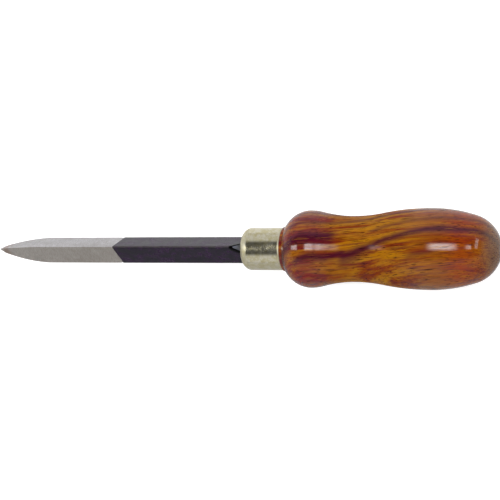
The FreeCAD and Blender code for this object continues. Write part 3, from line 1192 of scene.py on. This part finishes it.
@dataclass
class Ferrule:
    """The drawn cup: a domed front with a three-square mouth, and a plain bore."""

    wall: float = 0.8
    nose: float = 3.4                   # radius of the curve from its front to its side
    rim: float = 0.22                   # rounding of the rear edge
    mouth_rim: float = 0.12             # rounding of the mouth's edge
    lead_in: float = 0.3
    first_ring: float = 2.4             # radius of the mouth before it is pressed to shape
    bar_side: float = BAR_SIDE
    bar_corner: float = 0.3             # of the bar that the mouth is filed to
    clearance: float = 0.1
    relief_depth: float = HEEL_DEPTH
    steps: int = 240
    smooth_angle: float = 35.0          # sharper edges, in degrees, stay crisp

    def __post_init__(self) -> None:
        """Takes the cup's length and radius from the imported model."""
        low, high = box_mm("ferrule")
        self.front = low.x
        self.rear = high.x
        self.radius = high.z
        self.flat = self.radius - self.nose
        self.bore = self.radius - self.wall
        inscribed = inscribed_radius(self.bar_side)
        self.mouth = ThreeSquare(inscribed + self.clearance, self.bar_corner + self.clearance)
        self.mouth_top = 2 * inscribed - self.bar_corner - self.relief_depth + self.clearance

    def wall_outline(self) -> Outline:
        """The cup's wall, from the mouth's edge round the outside and back through the bore."""
        outline = Outline(step=0.3)
        inner_front = self.front + self.wall
        outline.arc(self.front + self.mouth_rim, self.first_ring + self.mouth_rim, self.mouth_rim,
                    270, 180)
        outline.along(self.front, self.flat)
        outline.arc(self.front + self.nose, self.flat, self.nose, 180, 90)
        outline.along(self.rear - self.rim, self.radius)
        outline.arc(self.rear - self.rim, self.radius - self.rim, self.rim, 90, 0)
        outline.to(self.rear, self.bore + self.lead_in * 0.8)
        outline.to(self.rear - self.lead_in, self.bore)
        outline.along(self.front + self.nose, self.bore)
        outline.arc(self.front + self.nose, self.flat, self.nose - self.wall, 90, 180)
        outline.along(inner_front, self.first_ring)
        return outline

    def front_x(self, radius: float, size: float) -> float:
        """Where a surface of the domed front lies.

        Args:
            radius: Distance from the axis.
            size: Radius of that surface's corner curve.

        Returns:
            Its place along the axis.
        """
        centre = self.front + self.nose
        past = max(0.0, radius - self.flat)
        return centre - math.sqrt(max(0.0, size ** 2 - past ** 2))

    def mouth_radius(self, angle: float) -> float:
        """The mouth's distance from the axis.

        Args:
            angle: Direction in radians, from +Y towards +Z.

        Returns:
            The distance.
        """
        radius = self.mouth.radius_at(angle)
        if math.sin(angle) > 0:
            radius = min(radius, self.mouth_top / math.sin(angle))
        return radius

    def press_mouth(self, work: Workpiece) -> None:
        """Spreads the round mouth of the front until it fits the three-square bar.

        Args:
            work: The ferrule under the tools.
        """
        inner_size = self.nose - self.wall
        for vert in work.mesh.verts:
            if vert.co.x > self.front + self.nose - SAME_POINT:
                continue
            radius = math.hypot(vert.co.y, vert.co.z)
            angle = math.atan2(vert.co.z, vert.co.y)
            outer_x = self.front_x(min(radius, self.radius), self.nose)
            inner_x = self.front_x(min(radius, self.bore), inner_size)
            deep = (vert.co.x - outer_x) / max(1e-6, inner_x - outer_x)
            limit = self.bore if deep > 0.5 else self.radius
            mouth = self.mouth_radius(angle)
            spread = mouth + (radius - self.first_ring) * (limit - mouth) / (limit - self.first_ring)
            new_outer = self.front_x(spread, self.nose)
            new_inner = self.front_x(min(spread, self.bore), inner_size)
            vert.co = Vector((
                new_outer + deep * (new_inner - new_outer),
                spread * math.cos(angle),
                spread * math.sin(angle),
            ))

    def build(self, effects: Effects) -> bpy.types.Object:
        """Builds and dresses the ferrule.

        Args:
            effects: The shared effects.

        Returns:
            The piece.
        """
        work = Workpiece("ferrule_cup")
        work.turn(self.wall_outline(), self.steps, closed=True)
        for vert in work.mesh.verts:
            radius = math.hypot(vert.co.y, vert.co.z)
            at_rim = vert.co.x > self.rear - self.rim * 1.1 and radius > self.radius - self.rim
            at_mouth = radius < self.first_ring + self.mouth_rim * 1.1
            vert[work.edge_layer] = 1.0 if at_rim or at_mouth else 0.0
        self.press_mouth(work)
        work.close()
        work.mark_edges(self.smooth_angle)
        finish = FerruleSteel(self.front, self.rear)
        return work.finish(finish.material(effects), "ferrule", "ferrule_steel")


# ---------------------------------------------------------------------------------------------
# The handle


@dataclass
class Handle:
    """The turned handle: a tenon, two bulges, a waist and a domed butt with a small flat."""

    ferrule_radius: float
    ferrule_wall: float
    tenon_slack: float = 0.02
    tenon_corner: float = 2.6
    lip: float = 0.4                    # width of the flat wood round the ferrule's rear edge
    lip_ease: float = 0.2
    land: float = 1.0                   # length of the straight ring of wood behind that flat
    front_bulge_x: float = 10.5
    front_bulge: float = 14.45
    front_share: float = 0.27
    waist_x: float = 27.2
    waist: float = 12.2
    rear_bulge_to_butt: float = 25.6
    rear_share: float = 0.62
    fall: float = 54.0                  # radius of the curve behind the rear bulge
    dome: float = 13.2
    butt_flat: float = 2.7
    pilot: float = 2.3                  # the tang's hole: radius and depth of its wide part,
    pilot_depth: float = 23.0
    pilot_cone: float = 0.6             # length of the cone that ends that part,
    pilot_tip: float = 1.3              # and the narrow part's radius, whole depth and end cone
    pilot_length: float = 45.5
    pilot_point: float = 0.7
    steps: int = 192
    smooth_angle: float = 35.0          # sharper edges, in degrees, stay crisp

    def __post_init__(self) -> None:
        """Takes the handle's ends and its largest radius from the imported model."""
        low, high = box_mm("handle")
        self.seat_x = low.x
        self.butt_x = high.x
        self.rear_bulge = high.z
        self.rear_bulge_x = self.butt_x - self.rear_bulge_to_butt
        self.tenon = self.ferrule_radius - self.ferrule_wall - self.tenon_slack

    def wave(self, outline: Outline, bulge_x: float, bulge: float, share: float,
             rising: bool) -> None:
        """Draws the two tangent arcs between a bulge and the waist.

        Args:
            outline: The outline so far.
            bulge_x: The bulge's place along the tool.
            bulge: The bulge's radius.
            share: How much of the way the bulge's own arc takes.
            rising: Whether the outline climbs from the waist to the bulge.
        """
        run = self.waist_x - bulge_x
        turn = 2 * math.degrees(math.atan((bulge - self.waist) / abs(run)))
        both = abs(run) / math.sin(math.radians(turn))
        crown = share * both
        hollow = both - crown
        side = math.copysign(1, run)
        arcs = [
            (bulge_x, bulge - crown, crown, 90, 90 - side * turn),
            (self.waist_x, self.waist + hollow, hollow, -90 - side * turn, -90),
        ]
        if rising:
            arcs = [(x, z, size, end, start) for x, z, size, start, end in reversed(arcs)]
        for arc in arcs:
            outline.arc(*arc)

    def body_outline(self) -> Outline:
        """The whole outline, from the bottom of the tang's hole round to the butt's centre."""
        outline = Outline(step=0.5)
        step_x = self.seat_x + self.pilot_depth
        bottom_x = self.seat_x + self.pilot_length
        outline.to(bottom_x, 0)
        outline.to(bottom_x - self.pilot_point, self.pilot_tip)
        outline.along(step_x + self.pilot_cone, self.pilot_tip)
        outline.to(step_x, self.pilot)
        outline.along(self.seat_x, self.pilot)
        outline.to(self.seat_x, self.tenon - self.tenon_corner)
        outline.arc(self.seat_x + self.tenon_corner, self.tenon - self.tenon_corner,
                    self.tenon_corner, 180, 90)
        outline.along(0, self.tenon)
        edge = self.ferrule_radius + self.lip
        rise = self.front_bulge - edge
        run = self.front_bulge_x - self.land
        nose = (run ** 2 + rise ** 2) / (2 * rise)
        centre = self.front_bulge - nose
        start = math.degrees(math.atan2(edge - centre, -run))
        outline.arc(self.lip_ease, edge - self.lip_ease, self.lip_ease, 180, 90)
        outline.to(self.land, edge)
        outline.arc(self.front_bulge_x, centre, nose, start, 90)
        self.wave(outline, self.front_bulge_x, self.front_bulge, self.front_share, rising=False)
        self.wave(outline, self.rear_bulge_x, self.rear_bulge, self.rear_share, rising=True)
        self.draw_dome(outline)
        outline.along(self.butt_x, 0)
        return outline

    def draw_dome(self, outline: Outline) -> None:
        """Draws the fall behind the rear bulge and the dome that ends at the butt's flat.

        Args:
            outline: The outline so far.
        """
        fall_centre = Vector((self.rear_bulge_x, self.rear_bulge - self.fall))
        end = Vector((self.butt_x, self.butt_flat))
        to_end = end - fall_centre
        apart = self.fall - self.dome
        along = (apart ** 2 - self.dome ** 2 + to_end.length_squared) / (2 * to_end.length)
        aside = math.sqrt(apart ** 2 - along ** 2)
        way = to_end.normalized()
        centre = fall_centre + way * along + Vector((-way.y, way.x)) * aside
        off = centre - fall_centre
        tangent = math.degrees(math.atan2(off.y, off.x))
        last = math.degrees(math.atan2(end.y - centre.y, end.x - centre.x))
        outline.arc(fall_centre.x, fall_centre.y, self.fall, 90, tangent)
        outline.arc(centre.x, centre.y, self.dome, tangent, last)

    def build(self, effects: Effects) -> bpy.types.Object:
        """Builds and dresses the handle.

        Args:
            effects: The shared effects.

        Returns:
            The piece.
        """
        work = Workpiece("turned_handle")
        work.turn(self.body_outline(), self.steps, closed=False)
        work.mark_edges(self.smooth_angle)
        finish = LacqueredWood(self.butt_x)
        return work.finish(finish.material(effects), "handle", "lacquered_wood")


# ---------------------------------------------------------------------------------------------
# The studio


@dataclass(frozen=True)
class Opening:
    """A rectangle of the tent, in degrees from the direction square to the tool."""

    left: float
    right: float
    bottom: float
    top: float
    soft: float
    strength: float = 1.0


@dataclass
class Studio:
    """A lit pale floor under a light tent, with a dim stretch over the tool and some windows."""

    yaw: float = 19.0                   # of the camera towards the handle
    roll: float = 8.0                   # of the tool about its own axis, upper arris up the view
    distance: float = 603.5
    target_x: float = -13.84
    target_up: float = -0.38
    lens: float = 115.2
    floor_drop: float = 14.95
    floor_glow: float = 0.75            # of the light table under the paper
    upper: float = 0.9                  # the tent's light from the top of the view
    lower: float = 0.9                  # and from its bottom
    side_fade: Span = (-60, 60)         # in degrees up the view, from one to the other
    foot: float = 0.4                   # what is left of it below the bottom
    foot_fade: Span = (-100, -66)
    dark: float = 0.11                  # of the dim stretch
    dim: Opening = Opening(-62, 62, -33, 42, 10)
    windows: tuple[Opening, ...] = (
        Opening(-60, -33, -3, 13, 3, 11.0),
        Opening(-7, 13, -3, 15, 4, 14.0),
        Opening(22, 28, -1, 13, 2, 9.0),
        Opening(39, 48, 2, 44, 2, 6.5),
    )
    sensor: float = 36.0
    nearest: float = 0.01               # that the camera sees, in metres
    floor_size: float = 3.0             # from its middle to its edge, in metres
    paper: tuple[tuple[float, str], ...] = ((0.3, "bcbcbc"), (0.7, "c4c4c4"))
    far_fade: Span = (-20.0, 25.0)      # across the tool, where the floor's far side lights up
    far_glow: float = 0.62              # of the full glow

    def axes(self) -> tuple[Vector, Vector, Vector]:
        """The camera's right, up and backward directions."""
        yaw = math.radians(self.yaw)
        roll = math.radians(self.roll)
        back = Vector((math.sin(yaw), -math.sin(roll) * math.cos(yaw),
                       math.cos(roll) * math.cos(yaw)))
        up = Vector((0, math.cos(roll), math.sin(roll)))
        return up.cross(back), up, back

    def add_camera(self) -> None:
        """Places the camera."""
        right, up, back = self.axes()
        data = bpy.data.cameras.new("camera")
        data.lens = self.lens
        data.sensor_width = self.sensor
        data.clip_start = self.nearest
        camera = bpy.data.objects.new("camera", data)
        target = Vector((self.target_x, 0, 0)) + up * self.target_up
        spot = (target + back * self.distance) * MM
        turn = Matrix((right, up, back)).transposed().to_4x4()
        camera.matrix_world = Matrix.Translation(spot) @ turn
        bpy.context.scene.collection.objects.link(camera)
        bpy.context.scene.camera = camera

    def pane(self, bench: Bench, swing: Socket, tilt: Socket, opening: Opening) -> Feed:
        """One inside an opening of the tent, fading to nothing over its soft edge.

        Args:
            bench: The world's bench.
            swing: Degrees from the square-on direction towards +X.
            tilt: Degrees from the square-on direction up the view.
            opening: The opening.

        Returns:
            The mask.
        """
        soft = opening.soft
        return bench.times(
            bench.fade(swing, opening.left - soft, opening.left + soft),
            bench.fade_out(swing, opening.right - soft, opening.right + soft),
            bench.fade(tilt, opening.bottom - soft, opening.bottom + soft),
            bench.fade_out(tilt, opening.top - soft, opening.top + soft),
        )

    def add_tent(self) -> None:
        """Lights the world as a white tent, with a dim stretch over the tool and a few windows."""
        roll = math.radians(self.roll)
        world = bpy.data.worlds.new("tent")
        world.use_nodes = True
        world.node_tree.nodes.clear()
        bench = Bench(world.node_tree)
        way = bench.add("ShaderNodeTexCoord").outputs["Generated"]
        upwards = bench.along(way, (0, math.cos(roll), math.sin(roll)))
        towards = bench.along(way, (0, -math.sin(roll), math.cos(roll)))
        degrees = math.degrees(1)
        tilt = bench.times(bench.math("ARCTAN2", upwards, towards), degrees)
        swing = bench.times(bench.math("ARCSINE", bench.along(way, X_AXIS)), degrees)
        sides = bench.times(bench.fade(tilt, *self.side_fade, self.lower, self.upper),
                            bench.fade(tilt, *self.foot_fade, self.foot, 1.0))
        strength = bench.between(self.pane(bench, swing, tilt, self.dim), sides, self.dark)
        for window in self.windows:
            light = bench.times(self.pane(bench, swing, tilt, window), window.strength)
            strength = bench.total(strength, light)
        glow = bench.add("ShaderNodeBackground", {
            "Color": tone("ffffff"), "Strength": bench.between(bench.camera_ray(), strength, 1.0),
        })
        bench.add("ShaderNodeOutputWorld", {"Surface": glow.outputs[0]})
        bpy.context.scene.world = world

    def add_floor(self) -> None:
        """Lays the floor under the tool."""
        mesh = bmesh.new()
        bmesh.ops.create_grid(mesh, x_segments=1, y_segments=1, size=self.floor_size)
        bmesh.ops.translate(mesh, vec=(0, 0, -self.floor_drop * MM), verts=mesh.verts)
        data = bpy.data.meshes.new("floor")
        mesh.to_mesh(data)
        mesh.free()
        material, bench, shader, mm = new_finish("floor_paper")
        far_side = bench.fade(bench.along(mm, Y_AXIS), *self.far_fade, 0.0, self.far_glow)
        glow = bench.lay(far_side, tone("000000"), tone("ffffff"))
        bench.fill(shader, {
            "Base Color": bench.ramp(bench.noise(mm, scale=0.02), self.paper),
            "Roughness": 0.9,
            "Emission Color": bench.lay(bench.camera_ray(), glow, tone("ffffff")),
            "Emission Strength": self.floor_glow,
        })
        data.materials.append(material)
        floor = bpy.data.objects.new("floor", data)
        bpy.context.scene.collection.objects.link(floor)

    def build(self) -> None:
        """Sets up the camera, the tent and the floor."""
        self.add_camera()
        self.add_tent()
        self.add_floor()
        view = bpy.context.scene.view_settings
        view.view_transform = "Standard"
        view.look = "None"


def main() -> None:
    """Builds the studio, then the awl's pieces in order."""
    logging.basicConfig(level=logging.INFO, format="%(name)s %(message)s")
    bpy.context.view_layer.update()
    Studio().build()
    effects = Effects(lines_effect(), handling_effect(), pits_effect(), wear_effect())
    ferrule = Ferrule()
    blade = Blade(ferrule_front=ferrule.front)
    handle = Handle(ferrule_radius=ferrule.radius, ferrule_wall=ferrule.wall)
    for piece in (blade.build(effects), ferrule.build(effects), handle.build(effects)):
        log.info("%s is in place", piece.name)


if __name__ == "__main__":
    main()
